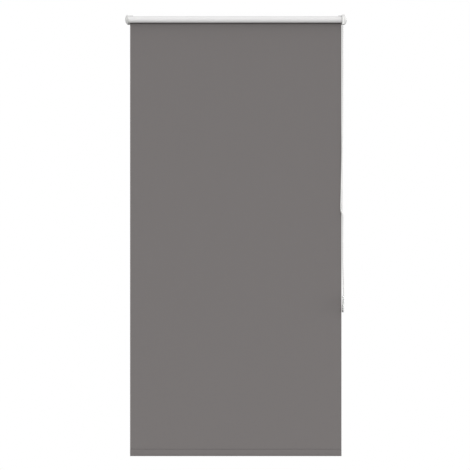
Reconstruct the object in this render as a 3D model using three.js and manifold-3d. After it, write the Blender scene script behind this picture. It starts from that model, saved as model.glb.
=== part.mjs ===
// A chain-operated roller blind, 750 mm wide with a 1.5 m drop, as it hangs on a wall fully lowered.
//
// Millimetres, +Z up. X runs along the roller, -Y faces the room and +Y the wall. The origin is on the
// wall's surface, level with the roller's axis, midway between the two end covers.
//
// The cloth leaves the back of the roll, so its light reverse shows on the roll. The left end turns on
// a sprung idle pin. The right end is a wrap-spring clutch on a fixed spindle, driven by a bead chain.
import * as THREE from "three";
import { mergeVertices } from "three/addons/utils/BufferGeometryUtils.js";
import Module from "manifold-3d";

const wasm = await Module();
wasm.setup();

// ---------------------------------------------------------------- driving dimensions

const GAP = 0.3; // clearance between neighbours that don't move on each other
const HALF_WIDTH = 375; // from the middle to an end cover's outer face
const AXIS_Y = -22; // the roller's axis, in front of the wall

// Cloth, roll and tube.
const CLOTH_LEFT = -359;
const CLOTH_RIGHT = 357;
const CLOTH_THICKNESS = 0.4;
const ROLL_RADIUS = 11.1; // what is left on the tube when the blind is down
const TUBE_RADIUS = 10;
const TUBE_WALL = 0.8;
const TUBE_LEFT = -358.8;
const TUBE_RIGHT = 356;
const ROUND_SIDES = 48; // facets round the tube, and round what lies on it
const SHEET_TOP_Z = -4; // where the plain hanging sheet starts, just under the roll's back
const TAPE_RADIUS = 10.1;
const TAPE_THICKNESS = 0.1;

// Hem and bottom bar: in section a flat oval, upright, whose lower end tapers.
const HEM_BOTTOM_Z = -1478;
const HEM_HEIGHT = 22.5;
const HEM_THICKNESS = 5;
const HEM_TAPER_Z = -1470.8; // where the taper starts
const HEM_TIP_RADIUS = 0.9;
const HEM_WALL = 0.45;
const BAR_INSET = 0.8; // from the hem's outside to the bar's
const BAR_WALL = 0.8;
const BAR_LEFT = -354.6;
const BAR_RIGHT = 352.6;
const BAR_END_LENGTH = 2.6;
const BAR_SPIGOT_LENGTH = 10;

// Brackets: a wall flange and a side plate that carries the roller's end.
const FLANGE_THICKNESS = 2;
const FLANGE_TOP_Z = 15.3;
const FLANGE_BOTTOM_Z = -16.5;
const FLANGE_CORNER = 1.5;
const FLANGE_END_LEFT = -349;
const FLANGE_END_RIGHT = 346;
const PLATE_INNER = 366.2; // the side plate's face that looks at the roller
const PLATE_OUTER = 368;
const PLATE_INSET = 2.9; // how far the plate's outline lies inside the cover's
const SCREW_RADIUS = 2.3;
const SCREW_Z = 9;

// End covers: a D-shaped outline, round at the front, domed outwards.
const COVER_RADIUS = 16.7;
const COVER_BACK_Y = -2.3;
const COVER_CORNER = 3;
const COVER_RIM = 366;
const COVER_WALL = 1.5;
const DOME_INSET = 15.7; // how far the outline has drawn in at the dome's middle
const DOME_POWER = 1.25; // above 1, the dome is more pointed than an ellipse

// Bead chain and its wheel: 12 beads to a turn.
const BEAD_RADIUS = 2.25;
const BEAD_PITCH = 6;
const BEADS_PER_TURN = 12;
const PITCH_RADIUS = (BEAD_PITCH * BEADS_PER_TURN) / (2 * Math.PI);
const CHAIN_X = 361;
const CORE_RADIUS = 0.55; // the cord between two beads
const SPROCKET_RADIUS = 11.4;
const SPROCKET_INNER = 358.4;
const SPROCKET_OUTER = 363.6;
const SLEEVE_INNER_RADIUS = 6.3;
const SLEEVE_OUTER_RADIUS = 7.1;
const SLEEVE_END = 328;
const SLEEVE_OPENING = 60; // degrees left open for the springs' tangs and the hub's key

// Control housing: level with the end cover at its top and back, closed at its outer side, and open
// below and towards the roller.
const HOUSING_WALL = 1.2;
const HOUSING_INNER = 358.3;
const HOUSING_DISC = 364.2;
const HOUSING_OUTER = 365.7;
const HOUSING_BOTTOM_Z = -16.7;
const BOSS_SIZE = 8.2;
const BOSS_END = 369.4;

// Spindle, springs, hub and clip of the clutch.
const SPINDLE_RADIUS = 4;
const SPINDLE_END = 319.5;
const SPINDLE_SHOULDER = 364.8;
const SPINDLE_KEY_SIZE = 6;
const GROOVE_RADIUS = 3.2;
const CLIP_X = 321.4;
const CLIP_THICKNESS = 0.9;
const SPRING_WIRE = 0.45; // the wire's radius
const HUB_END = 323;
const HUB_RADIUS = 8.9;
const HUB_BORE = 7.7;
const HUB_FLANGE_RADIUS = 9.9;
const HUB_FLANGE = [356.3, 357.6];

// Idle end: a plug in the tube, with a sprung pin.
const PLUG_COLLAR = [-364.9, -359.3];
const PLUG_COLLAR_RADIUS = 11.3;
const PLUG_RADIUS = 8.9;
const PLUG_END = -330;
const PLUG_CAP_X = [-332.7, -330.3];
const PIN_RADIUS = 2.5;
const PIN_BORE = 2.8;
const PIN_TIP = -368.4;
const PIN_COLLAR = [-355.9, -353.9];
const PIN_COLLAR_RADIUS = 3.9;
const PIN_TAIL = -343;
const CHAMBER_RADIUS = 4.3;

// Clear tensioner in the lower end of the chain's loop, tilted a little as it hangs.
const TENSIONER_AT = new THREE.Vector3(361.5, AXIS_Y, -975); // the middle of the chain's U-turn
const TENSIONER_TILT = 2.8; // degrees about Y
const TENSIONER_HALF_WIDTH = 15.5;
const TENSIONER_TOP = 38;
const TENSIONER_HALF_DEPTH = 3.1;
const COLLAR_HALF_DEPTH = 4;
const COLLAR_HEIGHT = 6;
const CHANNEL_RADIUS = 2.65;

// The chain's connector lies along the kink in the front strand.
const CONNECTOR_TOP = [354.2, -644]; // [x, z]
const CONNECTOR_BOTTOM = [360.1, -660];
const CONNECTOR_RADIUS = 3;

// ---------------------------------------------------------------- helpers

const radians = THREE.MathUtils.degToRad;

// The volume inside a closed mesh, negative if its faces point inwards.
function signedVolume(geometry) {
  const g = geometry.index ? geometry.toNonIndexed() : geometry;
  const p = g.getAttribute("position");
  const [a, b, c] = [new THREE.Vector3(), new THREE.Vector3(), new THREE.Vector3()];
  let volume = 0;
  for (let i = 0; i < p.count; i += 3) {
    a.fromBufferAttribute(p, i);
    b.fromBufferAttribute(p, i + 1);
    c.fromBufferAttribute(p, i + 2);
    volume += a.dot(b.cross(c)) / 6;
  }
  return volume;
}

// The same mesh with its faces pointing out.
function facingOut(geometry) {
  if (signedVolume(geometry) > 0) return geometry;
  const index = geometry.index.array;
  for (let i = 0; i < index.length; i += 3) {
    [index[i + 1], index[i + 2]] = [index[i + 2], index[i + 1]];
  }
  return geometry;
}

function toSolid(geometry) {
  const bare = geometry.clone();
  bare.deleteAttribute("normal");
  bare.deleteAttribute("uv");
  const merged = mergeVertices(bare, 1e-4);
  const vertProperties = new Float32Array(merged.getAttribute("position").array);
  const triVerts = new Uint32Array(merged.index.array);
  return new wasm.Manifold(new wasm.Mesh({ numProp: 3, vertProperties, triVerts }));
}

function toGeometry(solid) {
  const mesh = solid.getMesh();
  const geometry = new THREE.BufferGeometry();
  geometry.setAttribute("position", new THREE.BufferAttribute(mesh.vertProperties, 3));
  geometry.setIndex(new THREE.BufferAttribute(mesh.triVerts, 1));
  geometry.computeVertexNormals();
  return geometry;
}

function join(...geometries) {
  return toGeometry(geometries.map(toSolid).reduce((whole, piece) => whole.add(piece)));
}

function cut(geometry, ...tools) {
  return toGeometry(tools.map(toSolid).reduce((left, tool) => left.subtract(tool), toSolid(geometry)));
}

// A box from its lowest to its highest corner.
function box([x0, y0, z0], [x1, y1, z1]) {
  const geometry = new THREE.BoxGeometry(x1 - x0, y1 - y0, z1 - z0);
  return geometry.translate((x0 + x1) / 2, (y0 + y1) / 2, (z0 + z1) / 2);
}

// A shape drawn in the YZ plane, extruded along X from x0 to x1.
function extrudeX(shape, x0, x1, curveSegments = 16) {
  const options = { depth: x1 - x0, bevelEnabled: false, curveSegments };
  const toX = new THREE.Matrix4().makeBasis(
    new THREE.Vector3(0, 1, 0),
    new THREE.Vector3(0, 0, 1),
    new THREE.Vector3(1, 0, 0),
  );
  return new THREE.ExtrudeGeometry(shape, options).applyMatrix4(toX).translate(x0, 0, 0);
}

// A closed profile of [x, radius] points turned round the X axis.
function turn(profile, sides = 32) {
  const points = profile.map(([x, radius]) => new THREE.Vector2(radius, x));
  return facingOut(new THREE.LatheGeometry(points, sides).rotateZ(-Math.PI / 2));
}

// A ring round the X axis.
function ring(x0, x1, inner, outer, sides = 32) {
  return turn([[x0, inner], [x1, inner], [x1, outer], [x0, outer], [x0, inner]], sides);
}

// A solid disc or rod round the X axis.
function rod(x0, x1, radius, sides = 24) {
  return turn([[x0, 0], [x0, radius], [x1, radius], [x1, 0]], sides);
}

// A round bar of that radius along a curve. sides is an even number.
function tubeAlong(curve, radius, sides, steps) {
  const section = new THREE.Shape().absarc(0, 0, radius, 0, 2 * Math.PI);
  const options = { extrudePath: curve, steps, curveSegments: sides / 2, bevelEnabled: false };
  return facingOut(mergeVertices(new THREE.ExtrudeGeometry(section, options)));
}

// Rings of points, each with as many as the last, skinned into one closed body with flat ends.
function loft(rings) {
  const count = rings[0].length;
  const position = rings.flat().flatMap((p) => p.toArray());
  const index = [];
  for (let r = 0; r + 1 < rings.length; r++) {
    for (let i = 0; i < count; i++) {
      const a = r * count + i;
      const b = r * count + ((i + 1) % count);
      index.push(a, b, a + count, b, b + count, a + count);
    }
  }
  const last = (rings.length - 1) * count;
  for (let i = 1; i + 1 < count; i++) {
    index.push(0, i + 1, i);
    index.push(last, last + i, last + i + 1);
  }
  const geometry = new THREE.BufferGeometry();
  geometry.setAttribute("position", new THREE.Float32BufferAttribute(position, 3));
  geometry.setIndex(index);
  geometry.computeVertexNormals();
  return facingOut(geometry);
}

function rectangle(x0, y0, x1, y1, corner) {
  const shape = new THREE.Shape();
  shape.absarc(x1 - corner, y0 + corner, corner, -Math.PI / 2, 0);
  shape.absarc(x1 - corner, y1 - corner, corner, 0, Math.PI / 2);
  shape.absarc(x0 + corner, y1 - corner, corner, Math.PI / 2, Math.PI);
  shape.absarc(x0 + corner, y0 + corner, corner, Math.PI, 1.5 * Math.PI);
  shape.closePath();
  return shape;
}

// Points along an arc round (y, z), from one angle to another, in degrees. 0 is towards the wall.
function arcPoints(y, z, radius, from, to, steps) {
  const points = [];
  for (let n = 0; n <= steps; n++) {
    const angle = radians(from + ((to - from) * n) / steps);
    points.push([y + radius * Math.cos(angle), z + radius * Math.sin(angle)]);
  }
  return points;
}

// ---------------------------------------------------------------- cloth, hem and bottom bar

const CLOTH_Y = AXIS_Y + ROLL_RADIUS - CLOTH_THICKNESS / 2; // the hanging cloth's middle

function fabricSheet() {
  const top = SHEET_TOP_Z;
  const bottom = HEM_BOTTOM_Z + HEM_HEIGHT + GAP;
  const half = CLOTH_THICKNESS / 2;
  return box([CLOTH_LEFT, CLOTH_Y - half, bottom], [CLOTH_RIGHT, CLOTH_Y + half, top]);
}

// The hem's section drawn in by inset.
function hemOutline(inset) {
  const half = HEM_THICKNESS / 2 - inset;
  const tip = Math.max(HEM_TIP_RADIUS - inset, 0.35);
  const taperHeight = HEM_TAPER_Z - HEM_BOTTOM_Z - HEM_TIP_RADIUS;
  const taper = taperHeight / (HEM_THICKNESS / 2 - HEM_TIP_RADIUS);
  const tipZ = HEM_TAPER_Z - (half - tip) * taper;
  const shape = new THREE.Shape();
  shape.absarc(CLOTH_Y, HEM_BOTTOM_Z + HEM_HEIGHT - HEM_THICKNESS / 2, half, 0, Math.PI);
  shape.lineTo(CLOTH_Y - half, HEM_TAPER_Z);
  shape.absarc(CLOTH_Y, tipZ, tip, Math.PI, 2 * Math.PI);
  shape.lineTo(CLOTH_Y + half, HEM_TAPER_Z);
  shape.closePath();
  return shape;
}

function hollowHem(inset, wall, x0, x1) {
  const outline = hemOutline(inset);
  outline.holes.push(hemOutline(inset + wall));
  return extrudeX(outline, x0, x1, 8);
}

// A plug for one end of the hollow bar. side is -1 on the left and 1 on the right.
function barEnd(side) {
  const face = side < 0 ? BAR_LEFT - GAP : BAR_RIGHT + GAP;
  const inOrder = (a, b) => [Math.min(a, b), Math.max(a, b)];
  const head = inOrder(face, face + side * BAR_END_LENGTH);
  const spigot = inOrder(face + side, face - side * BAR_SPIGOT_LENGTH);
  return join(
    extrudeX(hemOutline(BAR_INSET), ...head, 8),
    extrudeX(hemOutline(BAR_INSET + BAR_WALL + GAP), ...spigot, 8),
  );
}

// ---------------------------------------------------------------- roller: tube, cloth on it, idle end

function rollerTube() {
  return ring(TUBE_LEFT, TUBE_RIGHT, TUBE_RADIUS - TUBE_WALL, TUBE_RADIUS, ROUND_SIDES);
}

function fabricRoll() {
  return ring(CLOTH_LEFT, CLOTH_RIGHT, TUBE_RADIUS + GAP, ROLL_RADIUS, ROUND_SIDES);
}

// A strip of tape along the tube, bent round the same facets as the tube.
function fabricTape() {
  const facet = (2 * Math.PI) / ROUND_SIDES;
  const arc = [2, 3, 4, 5, 6, 7, 8].map((n) => n * facet);
  const bent = (radius) =>
    arc.map((angle) => new THREE.Vector2(-radius * Math.sin(angle), radius * Math.cos(angle)));
  const inside = bent(TAPE_RADIUS);
  const outside = bent(TAPE_RADIUS + TAPE_THICKNESS);
  return extrudeX(new THREE.Shape([...inside, ...outside.reverse()]), TUBE_LEFT + 1, TUBE_RIGHT - 1);
}

function idlePlug() {
  const recess = PLUG_CAP_X[0] - GAP;
  const body = turn([
    [PLUG_COLLAR[0], PIN_BORE],
    [PLUG_COLLAR[0], PLUG_COLLAR_RADIUS],
    [PLUG_COLLAR[1], PLUG_COLLAR_RADIUS],
    [PLUG_COLLAR[1], PLUG_RADIUS],
    [PLUG_END, PLUG_RADIUS],
    [PLUG_END, 6.6],
    [recess, 6.6],
    [recess, CHAMBER_RADIUS],
    [PIN_COLLAR[0] - GAP, CHAMBER_RADIUS],
    [PIN_COLLAR[0] - GAP, PIN_BORE],
    [PLUG_COLLAR[0], PIN_BORE],
  ]);
  // Grooves along the barrel leave eight ribs that grip the tube.
  const grooves = [];
  for (let n = 0; n < 8; n++) {
    const groove = box([PLUG_COLLAR[1] + 2, -1.6, PLUG_RADIUS - 1], [PLUG_END + 1, 1.6, PLUG_RADIUS + 1]);
    grooves.push(groove.rotateX(n * radians(45)));
  }
  return cut(body, ...grooves);
}

function idlePlugCap() {
  return ring(PLUG_CAP_X[0], PLUG_CAP_X[1], 1, 6.3);
}

function idlePin() {
  return turn(
    [
      [PIN_TIP, 0],
      [PIN_TIP, PIN_RADIUS - 0.8],
      [PIN_TIP + 0.8, PIN_RADIUS],
      [PIN_COLLAR[0], PIN_RADIUS],
      [PIN_COLLAR[0], PIN_COLLAR_RADIUS],
      [PIN_COLLAR[1], PIN_COLLAR_RADIUS],
      [PIN_COLLAR[1], 1.4],
      [PIN_TAIL, 1.4],
      [PIN_TAIL, 0],
    ],
    24,
  );
}

// Points of a helix round the X axis. Angle 0 is towards the room.
function helix(x0, x1, radius, turns, fromAngle, steps) {
  const points = [];
  for (let n = 0; n <= steps; n++) {
    const angle = fromAngle + (2 * Math.PI * turns * n) / steps;
    const x = x0 + ((x1 - x0) * n) / steps;
    points.push(new THREE.Vector3(x, -radius * Math.cos(angle), radius * Math.sin(angle)));
  }
  return points;
}

function idleSpring() {
  const wire = 0.35;
  const points = helix(PIN_COLLAR[1] + GAP + wire, PLUG_CAP_X[0] - GAP - wire, 3, 6, 0, 72);
  return tubeAlong(new THREE.CatmullRomCurve3(points), wire, 6, 72);
}

// ---------------------------------------------------------------- control end: wheel, clutch, housing

function sprocket() {
  const wheel = ring(SPROCKET_INNER, SPROCKET_OUTER, SPINDLE_RADIUS + 0.4, SPROCKET_RADIUS, ROUND_SIDES);
  const sleeve = ring(SLEEVE_END, SPROCKET_INNER + 1, SLEEVE_INNER_RADIUS, SLEEVE_OUTER_RADIUS);
  const half = SLEEVE_OUTER_RADIUS * Math.tan(radians(SLEEVE_OPENING / 2));
  const opening = box([SLEEVE_END - 1, -SLEEVE_OUTER_RADIUS - 1, -half], [SPROCKET_INNER - 0.5, -2, half]);
  const pockets = [];
  for (let n = 0; n < BEADS_PER_TURN; n++) {
    const pocket = new THREE.SphereGeometry(BEAD_RADIUS + GAP, 10, 6);
    pockets.push(pocket.translate(CHAIN_X, -PITCH_RADIUS, 0).rotateX((n * 2 * Math.PI) / BEADS_PER_TURN));
  }
  const groove = new THREE.TorusGeometry(PITCH_RADIUS, CORE_RADIUS + 0.45, 8, ROUND_SIDES);
  groove.rotateY(Math.PI / 2).translate(CHAIN_X, 0, 0);
  return cut(join(wheel, cut(sleeve, opening)), groove, ...pockets);
}

// The beads that lie in the wheel's upper pockets, with the cord through them.
function chainWrap() {
  const beads = [];
  const arc = [];
  const across = BEADS_PER_TURN / 2;
  for (let n = 0; n <= across; n++) {
    const angle = -(n * 2 * Math.PI) / BEADS_PER_TURN;
    const bead = new THREE.SphereGeometry(BEAD_RADIUS - 0.1, 10, 6);
    beads.push(bead.translate(CHAIN_X, -PITCH_RADIUS, 0).rotateX(angle));
    arc.push(new THREE.Vector3(CHAIN_X, -PITCH_RADIUS * Math.cos(angle), -PITCH_RADIUS * Math.sin(angle)));
  }
  return join(tubeAlong(new THREE.CatmullRomCurve3(arc), CORE_RADIUS, 6, 24), ...beads);
}

function controlSpindle() {
  const shaft = turn(
    [
      [SPINDLE_END, 0],
      [SPINDLE_END, SPINDLE_RADIUS - 0.8],
      [SPINDLE_END + 0.8, SPINDLE_RADIUS],
      [CLIP_X - 0.3, SPINDLE_RADIUS],
      [CLIP_X - 0.3, GROOVE_RADIUS],
      [CLIP_X + CLIP_THICKNESS + 0.3, GROOVE_RADIUS],
      [CLIP_X + CLIP_THICKNESS + 0.3, SPINDLE_RADIUS],
      [SPINDLE_SHOULDER, SPINDLE_RADIUS],
      [SPINDLE_SHOULDER, 0],
    ],
    24,
  );
  const half = SPINDLE_KEY_SIZE / 2;
  return join(shaft, box([SPINDLE_SHOULDER - 1, -half, -half], [BOSS_END - 0.4, half, half]));
}

// A wrap spring: close turns round the spindle, and at each end a tang that stands out in the opening
// between the wheel's sleeve and the hub's key.
function wrapSpring(x0, x1) {
  const radius = SPINDLE_RADIUS + GAP + SPRING_WIRE;
  const tangAngle = radians(21);
  const tangRadius = SLEEVE_OUTER_RADIUS - SPRING_WIRE;
  const turns = 4 + (2 * tangAngle) / (2 * Math.PI);
  const coils = helix(x0, x1, radius, turns, -tangAngle, 48);
  const tang = (x, angle) =>
    new THREE.Vector3(x, -tangRadius * Math.cos(angle), tangRadius * Math.sin(angle));
  const points = [tang(x0, -tangAngle), ...coils, tang(x1, tangAngle)];
  return tubeAlong(new THREE.CatmullRomCurve3(points), SPRING_WIRE, 6, 60);
}

function driveHub() {
  const [flangeStart, flangeEnd] = HUB_FLANGE;
  const wallEnd = HUB_END + 4.3;
  const body = turn([
    [HUB_END, SPINDLE_RADIUS + 0.4],
    [HUB_END, HUB_RADIUS],
    [flangeStart, HUB_RADIUS],
    [flangeStart, HUB_FLANGE_RADIUS],
    [flangeEnd, HUB_FLANGE_RADIUS],
    [flangeEnd, HUB_BORE],
    [wallEnd, HUB_BORE],
    [wallEnd, SPINDLE_RADIUS + 0.4],
    [HUB_END, SPINDLE_RADIUS + 0.4],
  ]);
  const key = box([wallEnd - 1, -HUB_BORE - 0.4, -1.3], [flangeStart, -5.7, 1.3]);
  return join(body, key);
}

// A C-shaped clip in the spindle's groove.
function retainingClip() {
  const gapHalfAngle = radians(40);
  const inner = GROOVE_RADIUS + GAP;
  const shape = new THREE.Shape();
  shape.absarc(0, 0, 6.2, gapHalfAngle, 2 * Math.PI - gapHalfAngle);
  shape.absarc(0, 0, inner, 2 * Math.PI - gapHalfAngle, gapHalfAngle, true);
  shape.closePath();
  return extrudeX(shape, CLIP_X, CLIP_X + CLIP_THICKNESS);
}

// The housing's outline drawn in by inset: a cover's upper half, with its front and back run straight
// down to z.
function housingOutline(inset, z) {
  const radius = COVER_RADIUS - inset;
  const back = COVER_BACK_Y - inset;
  const corner = COVER_CORNER - inset;
  const points = [
    [back, z],
    ...arcPoints(back - corner, radius - corner, corner, 0, 90, 3),
    ...arcPoints(AXIS_Y, 0, radius, 90, 180, 10),
    [AXIS_Y - radius, z],
  ];
  return new THREE.Shape(points.map(([y, height]) => new THREE.Vector2(y - AXIS_Y, height)));
}

function controlHousing() {
  const outline = housingOutline(0, HOUSING_BOTTOM_Z);
  const cavity = housingOutline(HOUSING_WALL, HOUSING_BOTTOM_Z - 1);
  const outside = extrudeX(outline, HOUSING_INNER, HOUSING_OUTER);
  const inside = extrudeX(cavity, HOUSING_INNER - 1, HOUSING_DISC);
  const half = BOSS_SIZE / 2;
  const boss = box([HOUSING_OUTER - 0.5, -half, -half], [BOSS_END, half, half]);
  const key = SPINDLE_KEY_SIZE / 2 + GAP;
  const seat = rod(HOUSING_DISC - 1, SPINDLE_SHOULDER + GAP, SPINDLE_RADIUS + GAP);
  const socket = box([HOUSING_DISC, -key, -key], [BOSS_END + 1, key, key]);
  return cut(join(cut(outside, inside), boss), seat, socket);
}

// ---------------------------------------------------------------- brackets and end covers

// The D-shaped outline drawn in by inset, with its back edge at back.
function dOutline(inset, back) {
  const radius = COVER_RADIUS - inset;
  const corner = Math.max(COVER_CORNER - inset, 0.4);
  const edge = back - corner;
  return [
    ...arcPoints(AXIS_Y, 0, radius, 90, 270, 20),
    ...arcPoints(edge, -radius + corner, corner, 270, 360, 3),
    ...arcPoints(edge, radius - corner, corner, 0, 90, 3),
  ];
}

// A domed shell, open towards the bracket, with a slot in its back edge for the bracket's side plate.
// side is -1 on the left and 1 on the right.
function endCover(side) {
  const steps = 8;
  const depth = HALF_WIDTH - COVER_RIM;
  const skin = (wall) => {
    const rings = [];
    for (let n = 0; n <= steps; n++) {
      const angle = (n / steps) * (Math.PI / 2);
      const x = COVER_RIM + (depth - wall) * Math.sin(angle) ** DOME_POWER;
      const inset = wall + (DOME_INSET - wall) * (1 - Math.cos(angle));
      rings.push(dOutline(inset, COVER_BACK_Y - inset).map(([y, z]) => new THREE.Vector3(side * x, y, z)));
    }
    return rings;
  };
  const half = COVER_RADIUS - COVER_WALL;
  const slot = box(
    [COVER_RIM - 1, COVER_BACK_Y - COVER_WALL - 1, -half],
    [PLATE_OUTER + GAP, COVER_BACK_Y + 1, half],
  );
  if (side < 0) slot.translate(-COVER_RIM + 1 - PLATE_OUTER - GAP, 0, 0);
  return cut(loft([...skin(COVER_WALL).reverse(), ...skin(0)]), slot);
}

// An L bracket: the wall flange runs from the side plate towards the middle as far as flangeEnd.
function bracket(side, flangeEnd, ...holes) {
  const plateOutline = dOutline(PLATE_INSET, 0).map(([y, z]) => new THREE.Vector2(y, z));
  const [x0, x1] = [side * PLATE_INNER, side * PLATE_OUTER].sort((a, b) => a - b);
  const plate = extrudeX(new THREE.Shape(plateOutline), x0, x1);
  const [f0, f1] = [flangeEnd, side * PLATE_OUTER].sort((a, b) => a - b);
  const outline = rectangle(f0, FLANGE_BOTTOM_Z, f1, FLANGE_TOP_Z, FLANGE_CORNER);
  const options = { depth: FLANGE_THICKNESS, bevelEnabled: false, curveSegments: 3 };
  const flange = new THREE.ExtrudeGeometry(outline, options).rotateX(Math.PI / 2);
  const screwX = flangeEnd + side * 7;
  const screws = [-SCREW_Z, SCREW_Z].map((z) =>
    new THREE.CylinderGeometry(SCREW_RADIUS, SCREW_RADIUS, 10, 20).translate(screwX, 0, z),
  );
  return cut(join(plate, flange), ...screws, ...holes);
}

function bracketLeft() {
  const pinHole = rod(-PLATE_OUTER - 1, -PLATE_INNER + 1, PIN_BORE).translate(0, AXIS_Y, 0);
  return bracket(-1, FLANGE_END_LEFT, pinHole);
}

function bracketRight() {
  const half = BOSS_SIZE / 2 + GAP;
  const socket = box([PLATE_INNER - 1, AXIS_Y - half, -half], [PLATE_OUTER + 1, AXIS_Y + half, half]);
  return bracket(1, FLANGE_END_RIGHT, socket);
}

// ---------------------------------------------------------------- bead chain and tensioner

const FRONT_Y = AXIS_Y - PITCH_RADIUS;
const REAR_Y = AXIS_Y + PITCH_RADIUS;
const STRAND_TOP_Z = -11.5; // just below the circle that the beads on the wheel sweep

// A point of the tensioner's own frame, whose Z runs up its tilted legs, in the blind's frame.
function fromTensioner(y, z) {
  const tilt = radians(TENSIONER_TILT);
  return new THREE.Vector3(z * Math.sin(tilt), y, z * Math.cos(tilt)).add(TENSIONER_AT);
}

const MOUTH_Z = TENSIONER_TOP + GAP;
const CONNECTOR_START = new THREE.Vector3(CONNECTOR_TOP[0], FRONT_Y, CONNECTOR_TOP[1]);
const CONNECTOR_STOP = new THREE.Vector3(CONNECTOR_BOTTOM[0], FRONT_Y, CONNECTOR_BOTTOM[1]);
const CONNECTOR_LENGTH = CONNECTOR_START.distanceTo(CONNECTOR_STOP);
const CONNECTOR_AXIS = new THREE.Vector3().subVectors(CONNECTOR_STOP, CONNECTOR_START).normalize();

// A point on the connector's axis, that far below its upper end.
function onConnector(distance) {
  return new THREE.Vector3().copy(CONNECTOR_AXIS).multiplyScalar(distance).add(CONNECTOR_START);
}

const at = (x, y, z) => new THREE.Vector3(x, y, z);
const FRONT_UPPER = [
  at(CHAIN_X, FRONT_Y, STRAND_TOP_Z),
  at(360.8, FRONT_Y, -200),
  at(360.1, FRONT_Y, -310),
  at(358.5, FRONT_Y, -400),
  at(356.4, FRONT_Y, -500),
  at(354.6, FRONT_Y, -580),
  at(353.8, FRONT_Y, -614),
  at(353.4, FRONT_Y, -632),
  onConnector(-3),
  onConnector(-GAP),
];
const FRONT_LOWER = [
  onConnector(CONNECTOR_LENGTH + GAP),
  onConnector(CONNECTOR_LENGTH + 3),
  at(361.3, FRONT_Y, -674),
  at(360.9, FRONT_Y, -720),
  at(361.1, FRONT_Y, -800),
  at(361.9, FRONT_Y, -850),
  at(363.3, FRONT_Y, -900),
  at(363.6, FRONT_Y, -921),
  fromTensioner(-PITCH_RADIUS, MOUTH_Z),
];
const REAR = [
  at(CHAIN_X, REAR_Y, STRAND_TOP_Z),
  at(361, REAR_Y, -310),
  at(360.4, REAR_Y, -450),
  at(360, REAR_Y, -600),
  at(360.7, REAR_Y, -700),
  at(361.1, REAR_Y, -800),
  at(361.9, REAR_Y, -850),
  at(363.3, REAR_Y, -900),
  at(363.6, REAR_Y, -921),
  fromTensioner(PITCH_RADIUS, MOUTH_Z),
];

function strand(points, steps) {
  return tubeAlong(new THREE.CatmullRomCurve3(points), BEAD_RADIUS, 8, steps);
}

// Down one leg, round the half circle and up the other, in the tensioner's own frame.
function uTurn(top) {
  const points = [at(0, -PITCH_RADIUS, top), at(0, -PITCH_RADIUS, top / 2)];
  for (let n = 0; n <= 6; n++) {
    const angle = radians(30 * n);
    points.push(at(0, -PITCH_RADIUS * Math.cos(angle), -PITCH_RADIUS * Math.sin(angle)));
  }
  points.push(at(0, PITCH_RADIUS, top / 2), at(0, PITCH_RADIUS, top));
  return new THREE.CatmullRomCurve3(points);
}

function chainBottom() {
  return tubeAlong(uTurn(TENSIONER_TOP), BEAD_RADIUS, 8, 24);
}

// One half of the tensioner: a plate with half of the chain's channel in its face, and a collar round
// the channel's two mouths. side is -1 for the left half and 1 for the right.
function tensionerHalf(side) {
  const half = TENSIONER_HALF_WIDTH;
  const outline = new THREE.Shape();
  outline.moveTo(half, 0);
  outline.lineTo(half, TENSIONER_TOP);
  outline.lineTo(-half, TENSIONER_TOP);
  outline.lineTo(-half, 0);
  outline.absarc(0, 0, half, Math.PI, 2 * Math.PI);
  const span = (depth) => [side * GAP * 0.5, side * depth].sort((a, b) => a - b);
  const plate = extrudeX(outline, ...span(TENSIONER_HALF_DEPTH));
  const [c0, c1] = span(COLLAR_HALF_DEPTH);
  const collar = box([c0, -half, TENSIONER_TOP - COLLAR_HEIGHT], [c1, half, TENSIONER_TOP]);
  const channel = tubeAlong(uTurn(TENSIONER_TOP + 4), CHANNEL_RADIUS, 12, 40);
  const screwHole = rod(-5, 5, SCREW_RADIUS).translate(0, 0, TENSIONER_TOP / 2);
  return cut(join(plate, collar), channel, screwHole);
}

// A barrel that clips over the last bead of each end of the chain.
function chainConnector() {
  const end = CONNECTOR_RADIUS - 0.8;
  const barrel = turn([
    [0, 0],
    [0, end],
    [1.2, CONNECTOR_RADIUS],
    [CONNECTOR_LENGTH - 1.2, CONNECTOR_RADIUS],
    [CONNECTOR_LENGTH, end],
    [CONNECTOR_LENGTH, 0],
  ]);
  const turned = new THREE.Quaternion().setFromUnitVectors(new THREE.Vector3(1, 0, 0), CONNECTOR_AXIS);
  return barrel.applyQuaternion(turned).translate(...CONNECTOR_START.toArray());
}

// ---------------------------------------------------------------- materials and assembly

const material = (color, roughness, metalness) =>
  new THREE.MeshStandardMaterial({ color, roughness, metalness });
const CLOTH_FRONT = material(0x777372, 0.9, 0);
const CLOTH_REVERSE = material(0xe9e9e7, 0.85, 0);
const WHITE_PLASTIC = material(0xefefec, 0.45, 0);
const CHAIN_PLASTIC = material(0xe4e4e2, 0.4, 0);
const CLEAR_PLASTIC = material(0xe6eae9, 0.15, 0);
const INNER_PLASTIC = material(0xd8d8d4, 0.5, 0);
const STEEL = material(0xa9abad, 0.35, 1);
const ALUMINIUM = material(0xc4c6c8, 0.4, 1);
const TAPE = material(0xd9cfa8, 0.7, 0);

const blind = new THREE.Group();
const onAxis = new THREE.Group(); // what is drawn round the roller's axis
onAxis.position.set(0, AXIS_Y, 0);
const onTensioner = new THREE.Group();
onTensioner.position.copy(TENSIONER_AT);
onTensioner.rotation.y = radians(TENSIONER_TILT);
blind.add(onAxis, onTensioner);

function add(group, name, geometry, look) {
  const mesh = new THREE.Mesh(geometry, look);
  mesh.name = name;
  group.add(mesh);
}

add(blind, "bracket_left", bracketLeft(), WHITE_PLASTIC);
add(blind, "bracket_right", bracketRight(), WHITE_PLASTIC);
add(blind, "cover_left", endCover(-1), WHITE_PLASTIC);
add(blind, "cover_right", endCover(1), WHITE_PLASTIC);

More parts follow.
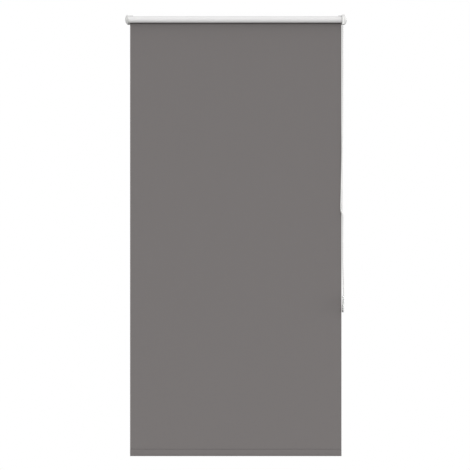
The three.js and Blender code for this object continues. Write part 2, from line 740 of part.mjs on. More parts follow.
add(blind, "fabric_sheet", fabricSheet(), CLOTH_FRONT);
add(blind, "hem_pocket", hollowHem(0, HEM_WALL, CLOTH_LEFT, CLOTH_RIGHT), CLOTH_FRONT);
add(blind, "bottom_bar", hollowHem(BAR_INSET, BAR_WALL, BAR_LEFT, BAR_RIGHT), ALUMINIUM);
add(blind, "bar_end_left", barEnd(-1), INNER_PLASTIC);
add(blind, "bar_end_right", barEnd(1), INNER_PLASTIC);

add(onAxis, "roller_tube", rollerTube(), ALUMINIUM);
add(onAxis, "fabric_tape", fabricTape(), TAPE);
add(onAxis, "fabric_roll", fabricRoll(), CLOTH_REVERSE);
add(onAxis, "idle_plug", idlePlug(), WHITE_PLASTIC);
add(onAxis, "idle_plug_cap", idlePlugCap(), INNER_PLASTIC);
add(onAxis, "idle_pin", idlePin(), STEEL);
add(onAxis, "idle_spring", idleSpring(), STEEL);

add(onAxis, "sprocket", sprocket(), INNER_PLASTIC);
add(onAxis, "control_spindle", controlSpindle(), INNER_PLASTIC);
add(onAxis, "wrap_spring_inner", wrapSpring(334, 340), STEEL);
add(onAxis, "wrap_spring_outer", wrapSpring(346, 352), STEEL);
add(onAxis, "drive_hub", driveHub(), INNER_PLASTIC);
add(onAxis, "retaining_clip", retainingClip(), STEEL);
add(onAxis, "control_housing", controlHousing(), WHITE_PLASTIC);

add(onAxis, "chain_wrap", chainWrap(), CHAIN_PLASTIC);
add(blind, "chain_front_upper", strand(FRONT_UPPER, 26), CHAIN_PLASTIC);
add(blind, "chain_front_lower", strand(FRONT_LOWER, 20), CHAIN_PLASTIC);
add(blind, "chain_rear", strand(REAR, 36), CHAIN_PLASTIC);
add(blind, "chain_connector", chainConnector(), CHAIN_PLASTIC);
add(onTensioner, "chain_bottom", chainBottom(), CHAIN_PLASTIC);
add(onTensioner, "tensioner_left", tensionerHalf(-1), CLEAR_PLASTIC);
add(onTensioner, "tensioner_right", tensionerHalf(1), CLEAR_PLASTIC);

export default blind;
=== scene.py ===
"""The looks of a chain-operated roller blind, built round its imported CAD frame.

Everything is in metres, in the frame's own axes: +X along the roller to the chain, -Y into the room,
+Z up. The cloth, hem, roll, end covers, chain, connector and the idle end's spring are built here. The
brackets, housing, tensioner and the hidden clutch keep their CAD shapes and get rounded edges and
finished materials.
"""

import math

import bmesh
import bpy
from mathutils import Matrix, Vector


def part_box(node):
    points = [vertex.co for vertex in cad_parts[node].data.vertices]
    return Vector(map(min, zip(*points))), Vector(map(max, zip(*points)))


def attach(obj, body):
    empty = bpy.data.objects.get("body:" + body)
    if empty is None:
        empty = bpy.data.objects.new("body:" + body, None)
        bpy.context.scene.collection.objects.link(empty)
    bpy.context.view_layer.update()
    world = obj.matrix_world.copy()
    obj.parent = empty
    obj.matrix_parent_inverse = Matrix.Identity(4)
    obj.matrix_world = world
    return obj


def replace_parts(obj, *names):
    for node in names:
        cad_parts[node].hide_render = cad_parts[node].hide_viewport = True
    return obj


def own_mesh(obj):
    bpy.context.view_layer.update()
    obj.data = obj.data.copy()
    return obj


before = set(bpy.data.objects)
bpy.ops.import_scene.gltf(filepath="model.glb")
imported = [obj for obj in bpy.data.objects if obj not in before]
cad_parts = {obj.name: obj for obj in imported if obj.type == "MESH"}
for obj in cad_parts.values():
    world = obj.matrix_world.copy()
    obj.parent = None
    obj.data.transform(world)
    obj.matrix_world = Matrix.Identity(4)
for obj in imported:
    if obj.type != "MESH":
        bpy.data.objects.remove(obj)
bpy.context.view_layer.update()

MM = 0.001

# ---------------------------------------------------------------- sizes, taken from the frame

ROLL_LOW, ROLL_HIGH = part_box("fabric_roll")
SHEET_LOW, SHEET_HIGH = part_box("fabric_sheet")
HEM_LOW, HEM_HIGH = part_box("hem_pocket")

CLOTH_LEFT, CLOTH_RIGHT = ROLL_LOW.x, ROLL_HIGH.x
AXIS_Y = (ROLL_LOW.y + ROLL_HIGH.y) / 2
AXIS_Z = (ROLL_LOW.z + ROLL_HIGH.z) / 2
ROLL_RADIUS = (ROLL_HIGH.z - ROLL_LOW.z) / 2
CLOTH_Y = (SHEET_LOW.y + SHEET_HIGH.y) / 2

# Cloth and hem.
CLOTH_THICKNESS = 0.35 * MM
CLOTH_RISE = 0.3 * MM  # how far the cloth starts above the axis, where it joins the roll
CLOTH_TUCK = 0.6 * MM  # how far its lower end runs down into the hem
CLOTH_COLUMNS = 32
CLOTH_ROWS = 64
PLAIN_COLUMNS = 8  # for what is straight along the roller
RIPPLE_HEIGHT = 0.12 * MM
RIPPLE_ACROSS = 7  # the ripple's run over half the width, in radians
RIPPLE_DOWN = 2  # and over the drop
HEM_HALF = (HEM_HIGH.y - HEM_LOW.y) / 2
HEM_TAPER_Z = HEM_LOW.z + 7.2 * MM  # where the hem starts to taper to its lower edge
HEM_TIP_RADIUS = 0.9 * MM
HEM_LEAST_TIP = 0.05 * MM  # of the pocket's inside
HEM_SIDE_STEPS = 6
WELD_HEIGHT = 1.8 * MM
WELD_DEPTH = 0.1 * MM  # how far the weld's two layers stand out from the cloth's
WELD_EDGE = 0.25 * MM  # the height of its sloping edges
WELD_OVERLAP = 0.25 * MM  # how far it reaches down over the pocket's top
SHOULDER = 0.5  # the height of the pocket's rounded top, as a share of its half thickness
WRAP_PITCH = 0.38 * MM  # from one turn on the roll to the next
ROLL_TURNS = 1.7  # about as many as fit outside the tube
STEPS_PER_TURN = 72

# Idle end's spring.
SPRING_WIRE = 0.35 * MM  # its radius
SPRING_COILS = 6
STEPS_PER_COIL = 24
WIRE_SIDES = 8

# End covers.
COVER_WALL = 1.5 * MM
COVER_CORNER = 3 * MM
COVER_LEAST_CORNER = 0.4 * MM
DOME_INSET = 15.7 * MM
DOME_POWER = 1.25  # above 1, the dome is more pointed than an ellipse
DOME_STEPS = 20
RIM_ROUNDING = 0.35 * MM
SLOT_DEPTH = 2.3 * MM  # how far the back edge is cut back for the bracket's side plate

# Bead chain.
BEAD_RADIUS = 2.25 * MM
CORE_RADIUS = 0.55 * MM
BEAD_PITCH = 6 * MM
BEAD_SIDES = 10
CHAIN_SPACING = 2 * MM  # between the points of the chain's smooth line
WHEEL_POCKETS = 12
WHEEL_BEADS = 7  # lie in the wheel's pockets
WHEEL_MARGIN = 2.4 * MM  # how far the wheel's chain runs on beyond its first and last bead
WHEEL_STEPS = 60
PITCH_RADIUS = WHEEL_POCKETS * BEAD_PITCH / (2 * math.pi)
CHAIN_X = 0.361
FRONT_Y = AXIS_Y - PITCH_RADIUS
REAR_Y = AXIS_Y + PITCH_RADIUS
TENSIONER_AT = Vector((0.3615, AXIS_Y, -0.975))
TENSIONER_TILT = math.radians(2.8)
TENSIONER_TOP = 38 * MM
TENSIONER_BEND = 30  # degrees between the route's points round the tensioner

# The connector's half barrel, as (distance from its end, radius) in millimetres.
HALF_BARREL = [(0, 1.7), (0.3, 2.1), (1.2, 2.75), (2.4, 3), (6.6, 3), (7.2, 2.7), (7.9, 2.6)]
BARREL_SIDES = 20

# The chain's route, as (x, z) points down its front strand and down its rear strand.
FRONT_ROUTE = [
    (0.3610, -0.0115),
    (0.3608, -0.2000),
    (0.3601, -0.3100),
    (0.3585, -0.4000),
    (0.3564, -0.5000),
    (0.3546, -0.5800),
    (0.3538, -0.6140),
    (0.3534, -0.6320),
    (0.3533, -0.6411),
    (0.3542, -0.6440),
    (0.3601, -0.6600),
    (0.3611, -0.6629),
    (0.3613, -0.6740),
    (0.3609, -0.7200),
    (0.3611, -0.8000),
    (0.3619, -0.8500),
    (0.3633, -0.9000),
    (0.3636, -0.9210),
]
REAR_ROUTE = [
    (0.3610, -0.0115),
    (0.3610, -0.3100),
    (0.3604, -0.4500),
    (0.3600, -0.6000),
    (0.3607, -0.7000),
    (0.3611, -0.8000),
    (0.3619, -0.8500),
    (0.3633, -0.9000),
    (0.3636, -0.9210),
]
CONNECTOR_TOP = Vector((0.3542, FRONT_Y, -0.6440))
CONNECTOR_BOTTOM = Vector((0.3601, FRONT_Y, -0.6600))

# Camera: level with the blind's middle, and far off, so that the view is almost without perspective.
CAMERA_DISTANCE = 8.0
CAMERA_X = -0.0037
CAMERA_Z = -0.729
VIEW_WIDTH = 1.590  # of the plane through the roller's axis
SENSOR_WIDTH = 36
CLIP_END = 100

SHARP_ANGLE = 40  # degrees at which an edge stays sharp, or is bevelled on a CAD node


# ---------------------------------------------------------------- meshes


def build(name, vertices, faces, body, slot, sharp=SHARP_ANGLE):
    """A mesh object with outward faces that rides on a body. Its slot argument is not used."""
    mesh = bpy.data.meshes.new(name)
    mesh.from_pydata([tuple(v) for v in vertices], [], faces)
    solid = bmesh.new()
    solid.from_mesh(mesh)
    bmesh.ops.recalc_face_normals(solid, faces=solid.faces)
    solid.to_mesh(mesh)
    solid.free()
    mesh.shade_smooth()
    mesh.set_sharp_from_angle(angle=math.radians(sharp))
    piece = bpy.data.objects.new(name, mesh)
    bpy.context.scene.collection.objects.link(piece)
    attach(piece, body)
    return piece


def skin(rings, round_again=False, capped=True):
    """Faces between rings of as many points each. round_again joins the last ring to the first."""
    count = len(rings[0])
    vertices = [point for ring in rings for point in ring]
    faces = []
    for r in range(len(rings) if round_again else len(rings) - 1):
        here, there = r * count, (r + 1) % len(rings) * count
        for i in range(count):
            j = (i + 1) % count
            faces.append((here + i, here + j, there + j, there + i))
    if capped and not round_again:
        faces.append(tuple(range(count)))
        faces.append(tuple(range(len(vertices) - count, len(vertices))))
    return vertices, faces


def circle(centre, side, other, radius, sides):
    """Points round a circle in the plane of two directions."""
    turns = [2 * math.pi * n / sides for n in range(sides)]
    return [centre + radius * (side * math.cos(t) + other * math.sin(t)) for t in turns]


def along(points, spacing):
    """Points about that far apart on a smooth curve through the given ones (centripetal Catmull-Rom)."""
    ends = [2 * points[0] - points[1], *points, 2 * points[-1] - points[-2]]
    line = []
    for before, a, b, after in zip(ends, ends[1:], ends[2:], ends[3:]):
        d0, d1, d2 = (math.sqrt((q - p).length) for p, q in ((before, a), (a, b), (b, after)))
        leaving = ((a - before) / d0 - (b - before) / (d0 + d1)) * d1 + (b - a)
        arriving = (b - a) - ((after - a) / (d1 + d2) - (after - b) / d2) * d1
        steps = max(1, round((b - a).length / spacing))
        for n in range(steps):
            t = n / steps
            line.append(
                a * (2 * t**3 - 3 * t**2 + 1)
                + leaving * (t**3 - 2 * t**2 + t)
                + b * (3 * t**2 - 2 * t**3)
                + arriving * (t**3 - t**2)
            )
    return [*line, points[-1]]


def measured(line):
    """The distance along a line of points at each of them."""
    distances = [0.0]
    for a, b in zip(line, line[1:]):
        distances.append(distances[-1] + (b - a).length)
    return distances


def at_distance(line, distances, wanted):
    """The point that far along a line, and the line's direction there."""
    wanted = min(max(wanted, 0.0), distances[-1])
    n = next(n for n in range(1, len(line)) if distances[n] >= wanted)
    step = line[n] - line[n - 1]
    share = (wanted - distances[n - 1]) / (distances[n] - distances[n - 1])
    return line[n - 1] + step * share, step.normalized()


# ---------------------------------------------------------------- camera and chain


def make_camera():
    data = bpy.data.cameras.new("camera")
    data.sensor_width = SENSOR_WIDTH
    data.lens = SENSOR_WIDTH * (CAMERA_DISTANCE + AXIS_Y) / VIEW_WIDTH
    data.clip_end = CLIP_END
    camera = bpy.data.objects.new("camera", data)
    camera.location = (CAMERA_X, -CAMERA_DISTANCE, CAMERA_Z)
    camera.rotation_euler = (math.pi / 2, 0, 0)
    bpy.context.scene.collection.objects.link(camera)
    bpy.context.scene.camera = camera


def beads_along(line, first, count):
    """Rings of a string of beads: at each bead a sphere's rings, which run on into the cord."""
    distances = measured(line)
    half = [math.degrees(math.asin(CORE_RADIUS / BEAD_RADIUS)), 33, 55, 77]
    angles = half + [180 - angle for angle in reversed(half)]
    rings = []
    for bead in range(count):
        for angle in map(math.radians, angles):
            wanted = first + bead * BEAD_PITCH - BEAD_RADIUS * math.cos(angle)
            centre, direction = at_distance(line, distances, wanted)
            side = (Vector((1, 0, 0)) - direction * direction.x).normalized()
            other = direction.cross(side)
            rings.append(circle(centre, side, other, BEAD_RADIUS * math.sin(angle), BEAD_SIDES))
    return rings


def from_tensioner(y, z):
    """A point given in the tensioner's own tilted axes, in the frame's axes."""
    tilted = Vector((z * math.sin(TENSIONER_TILT), y, z * math.cos(TENSIONER_TILT)))
    return TENSIONER_AT + tilted


def chain_route():
    """The loop's points: down the front strand, round in the tensioner and up the rear strand."""
    points = [Vector((x, FRONT_Y, z)) for x, z in FRONT_ROUTE]
    for height in (TENSIONER_TOP, TENSIONER_TOP / 2):
        points.append(from_tensioner(-PITCH_RADIUS, height))
    for degrees in range(0, 181, TENSIONER_BEND):
        angle = math.radians(degrees)
        points.append(from_tensioner(-PITCH_RADIUS * math.cos(angle), -PITCH_RADIUS * math.sin(angle)))
    for height in (TENSIONER_TOP / 2, TENSIONER_TOP):
        points.append(from_tensioner(PITCH_RADIUS, height))
    points += [Vector((x, REAR_Y, z)) for x, z in reversed(REAR_ROUTE)]
    return points


def bead_chain():
    line = along(chain_route(), CHAIN_SPACING)
    length = measured(line)[-1]
    count = int((length - 2 * BEAD_RADIUS) / BEAD_PITCH) + 1
    first = (length - (count - 1) * BEAD_PITCH) / 2
    rings = beads_along(line, first, count)
    chain = build("bead_chain", *skin(rings), body="chain_loop", slot="chain_plastic", sharp=50)
    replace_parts(chain, "chain_front_upper", "chain_front_lower", "chain_rear", "chain_bottom")
    chain_connector()
    return chain


def chain_connector():
    """A barrel in two halves that snaps over the chain's two end beads."""
    axis = CONNECTOR_BOTTOM - CONNECTOR_TOP
    length = axis.length
    axis.normalize()
    side = axis.cross(Vector((0, 1, 0))).normalized()
    other = axis.cross(side)
    profile = [(s * MM, r * MM) for s, r in HALF_BARREL]
    profile += [(length - s, r) for s, r in reversed(profile)]
    rings = [circle(CONNECTOR_TOP + axis * s, side, other, r, BARREL_SIDES) for s, r in profile]
    piece = build("connector_barrel", *skin(rings), body="chain_loop", slot="chain_plastic")
    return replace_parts(piece, "chain_connector")


def wheel_chain():
    """The beads that lie in the wheel's pockets."""
    over = math.degrees(WHEEL_MARGIN / PITCH_RADIUS)
    line = []
    for n in range(WHEEL_STEPS + 1):
        angle = math.radians(-over + (180 + 2 * over) * n / WHEEL_STEPS)
        y = AXIS_Y - PITCH_RADIUS * math.cos(angle)
        line.append(Vector((CHAIN_X, y, AXIS_Z + PITCH_RADIUS * math.sin(angle))))
    rings = beads_along(line, WHEEL_MARGIN, WHEEL_BEADS)
    piece = build("wheel_chain", *skin(rings), body="chain_wheel", slot="chain_plastic", sharp=50)
    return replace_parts(piece, "chain_wrap")


# ---------------------------------------------------------------- cloth


def spread(low, high, steps):
    """Evenly spaced values from low to high, both included."""
    return [low + (high - low) * n / steps for n in range(steps + 1)]


def cloth_roll():
    """The turns left on the tube: a spiral that starts where the hanging cloth leaves the roll's back.

    The cloth runs up the back, over the top and down the front, so its reverse faces out.
    """
    outer, inner = [], []
    for n in range(int(STEPS_PER_TURN * ROLL_TURNS) + 1):
        angle = 2 * math.pi * n / STEPS_PER_TURN
        radius = ROLL_RADIUS - WRAP_PITCH * n / STEPS_PER_TURN
        outer.append((radius * math.cos(angle), radius * math.sin(angle)))
        inside = radius - CLOTH_THICKNESS
        inner.append((inside * math.cos(angle), inside * math.sin(angle)))
    outline = outer + inner[::-1]
    columns = spread(CLOTH_LEFT, CLOTH_RIGHT, PLAIN_COLUMNS)
    rings = [[Vector((x, AXIS_Y + y, AXIS_Z + z)) for y, z in outline] for x in columns]
    vertices, faces = skin(rings, capped=False)
    count = len(outline)
    last = len(vertices) - count
    for n in range(len(outer) - 1):
        a, b = n, n + 1
        c, d = count - 2 - n, count - 1 - n
        faces.append((a, b, c, d))
        faces.append((last + a, last + b, last + c, last + d))
    piece = build("cloth_roll", vertices, faces, body="roller", slot="cloth_reverse")
    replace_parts(piece, "fabric_roll")
    return piece


def hanging_cloth(*at_its_end):
    """The cloth from the roll's back down to the hem, its dark face to the room."""
    top = AXIS_Z + CLOTH_RISE
    bottom = SHEET_LOW.z - CLOTH_TUCK
    back = AXIS_Y + ROLL_RADIUS
    columns = spread(CLOTH_LEFT, CLOTH_RIGHT, CLOTH_COLUMNS)
    rows = spread(top, bottom, CLOTH_ROWS)
    vertices = []
    for depth in (-CLOTH_THICKNESS, 0):
        for z in rows:
            share = (top - z) / (top - bottom)
            straight = back + (CLOTH_Y + CLOTH_THICKNESS / 2 - back) * share
            for x in columns:
                wave = math.sin(RIPPLE_ACROSS * x / CLOTH_RIGHT + RIPPLE_DOWN * share)
                ripple = RIPPLE_HEIGHT * wave * math.sin(math.pi * share)
                vertices.append((x, straight + depth + ripple, z))
    wide, tall = len(columns), len(rows)
    layer = wide * tall
    faces = []
    for side in (0, layer):
        for r in range(tall - 1):
            for c in range(wide - 1):
                a = side + r * wide + c
                faces.append((a, a + 1, a + wide + 1, a + wide))
    rim = list(range(wide))
    rim += [r * wide + wide - 1 for r in range(1, tall)]
    rim += [(tall - 1) * wide + c for c in range(wide - 2, -1, -1)]
    rim += [r * wide for r in range(tall - 2, 0, -1)]
    for a, b in zip(rim, rim[1:] + rim[:1]):
        faces.append((a, b, layer + b, layer + a))
    cloth = build("hanging_cloth", vertices, faces, body="wall_parts", slot="cloth_front")
    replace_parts(cloth, "fabric_sheet")
    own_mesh(cloth)
    return cloth


def hem_outline(inset):
    """The folded hem's section as (y, z) points: a flat upright oval that tapers to its lower edge."""
    half = HEM_HALF - inset
    tip = max(HEM_TIP_RADIUS - inset, HEM_LEAST_TIP)
    slope = (HEM_TAPER_Z - HEM_LOW.z - HEM_TIP_RADIUS) / (HEM_HALF - HEM_TIP_RADIUS)
    tip_z = HEM_TAPER_Z - (half - tip) * slope
    shoulder = half * SHOULDER
    top = HEM_HIGH.z - inset - shoulder
    points = []
    for angle in spread(0, math.pi, 12):
        points.append((half * math.cos(angle), top + shoulder * math.sin(angle)))
    points += [(-half, z) for z in spread(top, HEM_TAPER_Z, HEM_SIDE_STEPS)[1:]]
    for angle in spread(math.pi, 2 * math.pi, 8):
        points.append((tip * math.cos(angle), tip_z + tip * math.sin(angle)))
    points += [(half, z) for z in spread(HEM_TAPER_Z, top, HEM_SIDE_STEPS)[:-1]]
    return points


def folded_hem():
    """The end of the cloth folded round the bottom bar, open at both sides."""
    outside, inside = hem_outline(0), hem_outline(CLOTH_THICKNESS)
    columns = spread(CLOTH_LEFT, CLOTH_RIGHT, CLOTH_COLUMNS)
    rings = [[Vector((x, CLOTH_Y + y, z)) for y, z in outside] for x in columns]
    rings += [[Vector((x, CLOTH_Y + y, z)) for y, z in inside] for x in reversed(columns)]
    vertices, faces = skin(rings, round_again=True)
    piece = build("folded_hem", vertices, faces, body="bottom_rail", slot="cloth_front", sharp=30)
    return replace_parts(piece, "hem_pocket")


def hem_weld():
    """The pressed line that welds the folded end to the cloth, just above the pocket."""
    foot = -CLOTH_THICKNESS
    face = foot - WELD_DEPTH
    low = HEM_HIGH.z - WELD_OVERLAP
    high = low + WELD_HEIGHT
    front = [(foot, low), (face, low + WELD_EDGE), (face, high - WELD_EDGE), (foot, high)]
    section = front + [(-y, z) for y, z in reversed(front)]
    columns = spread(CLOTH_LEFT, CLOTH_RIGHT, PLAIN_COLUMNS)
    rings = [[Vector((x, CLOTH_Y + y, z)) for y, z in section] for x in columns]
    return build("hem_weld", *skin(rings), body="bottom_rail", slot="cloth_front", sharp=20)


# ---------------------------------------------------------------- idle end's spring


def idle_spring():
    """The coil that holds the idle pin out. It shortens as the pin is pushed into its plug."""
    low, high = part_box("idle_spring")
    length = high.x - low.x
    radius = (high.y - low.y) / 2 - SPRING_WIRE
    steps = STEPS_PER_COIL * SPRING_COILS
    lengthwise = Vector((1, 0, 0))
    rings = []
    for n in range(steps + 1):
        angle = 2 * math.pi * n / STEPS_PER_COIL
        outward = Vector((0, -math.cos(angle), math.sin(angle)))
        centre = Vector((low.x + SPRING_WIRE, AXIS_Y, AXIS_Z)) + outward * radius
        centre.x += (length - 2 * SPRING_WIRE) * n / steps
        rings.append(circle(centre, outward, lengthwise, SPRING_WIRE, WIRE_SIDES))
    spring = build("coil_spring", *skin(rings), body="roller", slot="steel")
    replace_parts(spring, "idle_spring")
    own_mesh(spring)
    return spring


# ---------------------------------------------------------------- end covers


def d_outline(cover_low, cover_high, inset):
    """The cover's D-shaped outline drawn in by inset, as (y, z, is on the straight back)."""
    full = (cover_high.z - cover_low.z) / 2
    mid_z = (cover_high.z + cover_low.z) / 2
    radius = full - inset
    corner = max(COVER_CORNER - inset, COVER_LEAST_CORNER)
    edge = cover_high.y - inset - corner
    # Each arc's centre, radius, first and last angle, number of steps, and whether it is on the back.
    arcs = [
        (AXIS_Y, mid_z, radius, 90, 270, 48, False),
        (edge, mid_z - radius + corner, corner, 270, 360, 8, True),
        (edge, mid_z + radius - corner, corner, 0, 90, 8, True),
    ]
    points = []
    for y, z, r, start, stop, steps, at_back in arcs:
        for n in range(steps + 1):
            angle = math.radians(start + (stop - start) * n / steps)
            points.append((y + r * math.cos(angle), z + r * math.sin(angle), at_back))
    return points


def end_cover(name, node, side):
    """A domed moulded shell. side is -1 on the left and 1 on the right."""
    low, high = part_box(node)
    rim = min(abs(low.x), abs(high.x))
    depth = high.x - low.x

    def shell(wall):
        rings = []
        for n in range(DOME_STEPS + 1):
            angle = math.pi / 2 * n / DOME_STEPS
            x = rim + (depth - wall) * math.sin(angle) ** DOME_POWER
            inset = wall + (DOME_INSET - wall) * (1 - math.cos(angle))
            if n == 0:
                inset += RIM_ROUNDING if wall == 0 else -RIM_ROUNDING
            ring = []
            for y, z, at_back in d_outline(low, high, inset):
                deep = max(x, rim + SLOT_DEPTH) if at_back else x
                ring.append(Vector((side * deep, y, z)))
            rings.append(ring)
        return rings

    outer, inner = shell(0), shell(COVER_WALL)
    rings = [*reversed(inner), *outer]
    piece = build(name, *skin(rings), body="wall_parts", slot="white_plastic")
    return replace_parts(piece, node)


# ---------------------------------------------------------------- materials


class Material:
    """A Principled material whose nodes are added one after another."""

    def __init__(self, name, **sockets):
        self.data = bpy.data.materials.new(name)
        self.data.use_nodes = True
        self.nodes = self.data.node_tree.nodes
        self.links = self.data.node_tree.links
        self.shader = next(n for n in self.nodes if n.type == "BSDF_PRINCIPLED")
        for socket, value in sockets.items():
            self.shader.inputs[socket.replace("_", " ")].default_value = value
        self.where = self.node("ShaderNodeTexCoord").outputs["Object"]

    def node(self, kind, **values):
        made = self.nodes.new(kind)
        for name, value in values.items():
            if name in made.inputs:
                made.inputs[name].default_value = value
            else:
                setattr(made, name, value)
        return made

    def stretched(self, scale):
        """The object's coordinates, scaled differently along X, Y and Z."""
        mapping = self.node("ShaderNodeMapping", Scale=scale)
        self.links.new(self.where, mapping.inputs["Vector"])
        return mapping.outputs["Vector"]

    def noise(self, scale, detail, vector=None):
        texture = self.node("ShaderNodeTexNoise", Scale=scale, Detail=detail)
        self.links.new(vector or self.where, texture.inputs["Vector"])
        return texture.outputs["Fac"]

    def wave(self, pitch, direction):
        """Threads or lines across one axis, that far apart.

        The wave texture's own pitch is pi / 10 / scale.
        """
        texture = self.node("ShaderNodeTexWave", bands_direction=direction, Scale=math.pi / 10 / pitch)
        self.links.new(self.where, texture.inputs["Vector"])
        return texture.outputs["Fac"]

    def math(self, operation, a, b):
        made = self.node("ShaderNodeMath", operation=operation)
        for socket, value in zip(made.inputs, (a, b)):
            if isinstance(value, (int, float)):
                socket.default_value = value
            else:
                self.links.new(value, socket)
        return made.outputs["Value"]

    def ramp(self, factor, low, high, target):
        """Runs a shader input from one value or colour to another as the factor goes from 0 to 1."""
        if isinstance(low, tuple):
            made = self.node("ShaderNodeMix", data_type="RGBA")
            sockets = [s for s in made.inputs if s.type == "RGBA"]
            sockets[0].default_value, sockets[1].default_value = (*low, 1), (*high, 1)
            self.links.new(factor, made.inputs["Factor"])
            out = next(s for s in made.outputs if s.type == "RGBA")
        else:
            made = self.node("ShaderNodeMapRange", **{"To Min": low, "To Max": high})
            self.links.new(factor, made.inputs["Value"])
            out = made.outputs["Result"]
        self.links.new(out, self.shader.inputs[target])

    def bump(self, height, distance, strength):
        made = self.node("ShaderNodeBump", Distance=distance, Strength=strength)
        self.links.new(height, made.inputs["Height"])
        self.links.new(made.outputs["Normal"], self.shader.inputs["Normal"])


def scaled(color, factor):
    return tuple(channel * factor for channel in color)


def woven(name, color, variation):
    """A fine plain weave with slightly uneven threads."""
    cloth = Material(name, Roughness=0.9)
    warp = cloth.wave(0.5 * MM, "X")
    weft = cloth.wave(0.55 * MM, "Z")
    weave = cloth.math("MULTIPLY", warp, weft)
    slubs = cloth.noise(1, 4, cloth.stretched((25, 25, 900)))
    streaks = cloth.noise(1, 4, cloth.stretched((1100, 25, 12)))
    uneven = cloth.math("MULTIPLY", cloth.math("ADD", slubs, streaks), 0.5)
    shade = cloth.math("ADD", cloth.math("MULTIPLY", weave, 0.35), cloth.math("MULTIPLY", uneven, 0.65))
    cloth.ramp(shade, scaled(color, 1 - variation), scaled(color, 1 + variation), "Base Color")
    cloth.bump(weave, 0.06 * MM, 0.6)
    return cloth.data


def welded(name, color):
    """Cloth pressed smooth by a weld, with the tool's fine cross ribs."""
    cloth = Material(name, Roughness=0.6)
    ribs = cloth.wave(1.2 * MM, "X")
    cloth.ramp(ribs, scaled(color, 0.9), scaled(color, 1.1), "Base Color")
    cloth.bump(ribs, 0.08 * MM, 0.5)
    return cloth.data


def moulded(name, color, roughness, **sockets):
    """Moulded plastic: an all but smooth skin, with a faint unevenness in colour and gloss."""
    plastic = Material(name, **sockets)
    cloudy = plastic.noise(60, 2)
    grain = plastic.noise(2500, 3)
    plastic.ramp(cloudy, scaled(color, 0.985), scaled(color, 1.015), "Base Color")
    plastic.ramp(grain, roughness - 0.06, roughness + 0.06, "Roughness")
    plastic.bump(grain, 0.02 * MM, 0.35)
    return plastic.data


def metal(name, color, roughness):
    """Bare metal with fine drawn lines along X."""
    bare = Material(name, Metallic=1.0)
    lines = bare.noise(1, 3, bare.stretched((40, 2500, 2500)))
    bare.ramp(lines, scaled(color, 0.93), scaled(color, 1.05), "Base Color")
    bare.ramp(lines, roughness - 0.08, roughness + 0.08, "Roughness")
    bare.bump(lines, 0.01 * MM, 0.4)
    return bare.data


CLOTH_FRONT = woven("cloth_front", (0.166, 0.154, 0.152), 0.06)
# The weld is painted darker than the cloth: partly the pressed cloth's own tone, partly painted shade
# standing in for the groove along the seam.
CLOTH_WELD_SHADED = welded("cloth_weld_painted_shade", (0.092, 0.085, 0.084))
CLOTH_REVERSE = woven("cloth_reverse", (0.79, 0.785, 0.785), 0.02)
WHITE_PLASTIC = moulded("white_plastic", (0.79, 0.79, 0.78), 0.45)
CHAIN_PLASTIC = moulded("chain_plastic", (0.80, 0.80, 0.79), 0.3)
# The brackets' grey is painted shade: the white plastic darkened to stand in for the shade on them behind
# and under the roll.
BRACKET_PLASTIC_SHADED = moulded("bracket_plastic_painted_shade", (0.53, 0.53, 0.525), 0.4)
INNER_PLASTIC = moulded("inner_plastic", (0.68, 0.68, 0.66), 0.45)
CLEAR_PLASTIC = moulded("clear_plastic", (0.97, 0.98, 0.975), 0.12, Transmission_Weight=0.94, IOR=1.49)
STEEL = metal("steel", (0.60, 0.61, 0.62), 0.3)
ALUMINIUM = metal("aluminium", (0.74, 0.75, 0.76), 0.38)
TAPE = moulded("tape", (0.66, 0.60, 0.38), 0.6)


def paint(target, *materials):
    """Gives a piece or a CAD node its materials, the first on every face."""
    target.data.materials.clear()
    for material in materials:
        target.data.materials.append(material)
    for face in target.data.polygons:
        face.material_index = 0


def two_faced(target, is_reverse):
    """Paints the faces that is_reverse picks, from their centre and normal, with the light reverse."""
    paint(target, CLOTH_FRONT, CLOTH_REVERSE)
    for face in target.data.polygons:
        if is_reverse(face.center, face.normal):
            face.material_index = 1


def faces_outward(centre, normal):
    """Whether a face looks away from the roller's axis."""
    return (centre.y - AXIS_Y) * normal.y + (centre.z - AXIS_Z) * normal.z > 0


def faces_wall(centre, normal):
    return normal.y > 0.5


def finish_node(node, material, bevel):
    """Rounds a CAD node's edges and gives it a material."""
    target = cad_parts[node]
    paint(target, material)
    joined = target.modifiers.new("weld", "WELD")
    joined.merge_threshold = 0.001 * MM
    if bevel:
        rounded = target.modifiers.new("bevel", "BEVEL")
        rounded.width = bevel
        rounded.segments = 3
        rounded.limit_method = "ANGLE"
        rounded.angle_limit = math.radians(SHARP_ANGLE)
        rounded.harden_normals = True
    target.data.shade_smooth()


# Each CAD node that is seen as it is, its material, and how wide its edges are rounded.
CAD_FINISH = [
    ("bracket_left", BRACKET_PLASTIC_SHADED, 0.3 * MM),
    ("bracket_right", BRACKET_PLASTIC_SHADED, 0.3 * MM),
    ("control_housing", WHITE_PLASTIC, 0.25 * MM),
    ("idle_plug", WHITE_PLASTIC, 0.2 * MM),
    ("idle_plug_cap", INNER_PLASTIC, 0.2 * MM),
    ("idle_pin", STEEL, 0.1 * MM),
    ("roller_tube", ALUMINIUM, 0),
    ("fabric_tape", TAPE, 0),
    ("bottom_bar", ALUMINIUM, 0),
    ("bar_end_left", INNER_PLASTIC, 0.2 * MM),
    ("bar_end_right", INNER_PLASTIC, 0.2 * MM),
    ("sprocket", INNER_PLASTIC, 0),
    ("control_spindle", INNER_PLASTIC, 0.15 * MM),
    ("wrap_spring_inner", STEEL, 0),
    ("wrap_spring_outer", STEEL, 0),
    ("drive_hub", INNER_PLASTIC, 0.15 * MM),
    ("retaining_clip", STEEL, 0.1 * MM),
    ("tensioner_left", CLEAR_PLASTIC, 0.3 * MM),
    ("tensioner_right", CLEAR_PLASTIC, 0.3 * MM),
]

# ---------------------------------------------------------------- studio

FLOOR_Z = -1.75
FLOOR_SIDE = 5  # from the middle to each side
FLOOR_FRONT = -7
FLOOR_BACK = 2
AMBIENT = 0.11
REFLECTED = 0.5  # how much of the white surroundings shows in a reflection

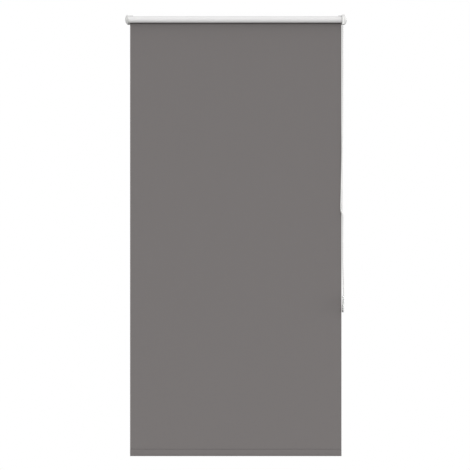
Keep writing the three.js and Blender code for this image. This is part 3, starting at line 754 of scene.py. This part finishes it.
# Each light's name, the direction it comes from, its strength, and its apparent size in degrees.
SUNS = [
    ("key", (0.05, -0.95, 0.27), 1.36, 10),
    ("top", (0.10, -0.60, 0.80), 1.35, 70),
    ("right", (0.98, -0.15, 0.10), 1.1, 40),
    ("left", (-0.98, -0.15, 0.10), 0.5, 40),
    ("back", (0.55, 0.75, 0.30), 1.4, 30),
]


def make_floor():
    front = [(-FLOOR_SIDE, FLOOR_FRONT, FLOOR_Z), (FLOOR_SIDE, FLOOR_FRONT, FLOOR_Z)]
    back = [(FLOOR_SIDE, FLOOR_BACK, FLOOR_Z), (-FLOOR_SIDE, FLOOR_BACK, FLOOR_Z)]
    mesh = bpy.data.meshes.new("floor")
    mesh.from_pydata(front + back, [], [(0, 1, 2, 3)])
    floor = bpy.data.objects.new("floor", mesh)
    bpy.context.scene.collection.objects.link(floor)
    surface = Material("floor", Roughness=0.8)
    surface.ramp(surface.noise(3, 4), (0.60, 0.60, 0.59), (0.64, 0.64, 0.63), "Base Color")
    paint(floor, surface.data)


def make_world():
    """White behind the blind, dimmer light all round, and in between for what shiny and clear parts see."""
    world = bpy.data.worlds.new("studio")
    bpy.context.scene.world = world
    world.use_nodes = True
    nodes, links = world.node_tree.nodes, world.node_tree.links
    nodes.clear()
    out = nodes.new("ShaderNodeOutputWorld")
    seen = nodes.new("ShaderNodeBackground")
    light = nodes.new("ShaderNodeBackground")
    light.inputs["Strength"].default_value = AMBIENT
    for background in (seen, light):
        background.inputs["Color"].default_value = (1, 1, 1, 1)
    path = nodes.new("ShaderNodeLightPath")
    gloss = nodes.new("ShaderNodeMath")
    gloss.operation = "MULTIPLY"
    gloss.inputs[1].default_value = REFLECTED
    links.new(path.outputs["Is Glossy Ray"], gloss.inputs[0])
    whiteness = gloss.outputs[0]
    for ray in ("Is Camera Ray", "Is Transmission Ray"):
        either = nodes.new("ShaderNodeMath")
        either.operation = "MAXIMUM"
        links.new(whiteness, either.inputs[0])
        links.new(path.outputs[ray], either.inputs[1])
        whiteness = either.outputs[0]
    mix = nodes.new("ShaderNodeMixShader")
    links.new(whiteness, mix.inputs["Fac"])
    links.new(light.outputs[0], mix.inputs[1])
    links.new(seen.outputs[0], mix.inputs[2])
    links.new(mix.outputs[0], out.inputs["Surface"])


def make_sun(name, origin, strength, angle):
    data = bpy.data.lights.new(name, "SUN")
    data.energy = strength
    data.angle = math.radians(angle)
    sun = bpy.data.objects.new(name, data)
    sun.rotation_euler = Vector(origin).to_track_quat("Z", "Y").to_euler()
    bpy.context.scene.collection.objects.link(sun)


# ---------------------------------------------------------------- the scene

make_camera()
chain = bead_chain()
paint(chain, CHAIN_PLASTIC)
paint(bpy.data.objects["connector_barrel"], CHAIN_PLASTIC)
paint(wheel_chain(), CHAIN_PLASTIC)

two_faced(cloth_roll(), faces_outward)
hem, weld = folded_hem(), hem_weld()
paint(hem, CLOTH_FRONT)
paint(weld, CLOTH_WELD_SHADED)
two_faced(hanging_cloth(hem, weld), faces_wall)

paint(idle_spring(), STEEL)
paint(end_cover("end_cover_left", "cover_left", -1), WHITE_PLASTIC)
paint(end_cover("end_cover_right", "cover_right", 1), WHITE_PLASTIC)
for node, material, bevel in CAD_FINISH:
    finish_node(node, material, bevel)

make_floor()
make_world()
for sun in SUNS:
    make_sun(*sun)
bpy.context.scene.view_settings.view_transform = "Standard"
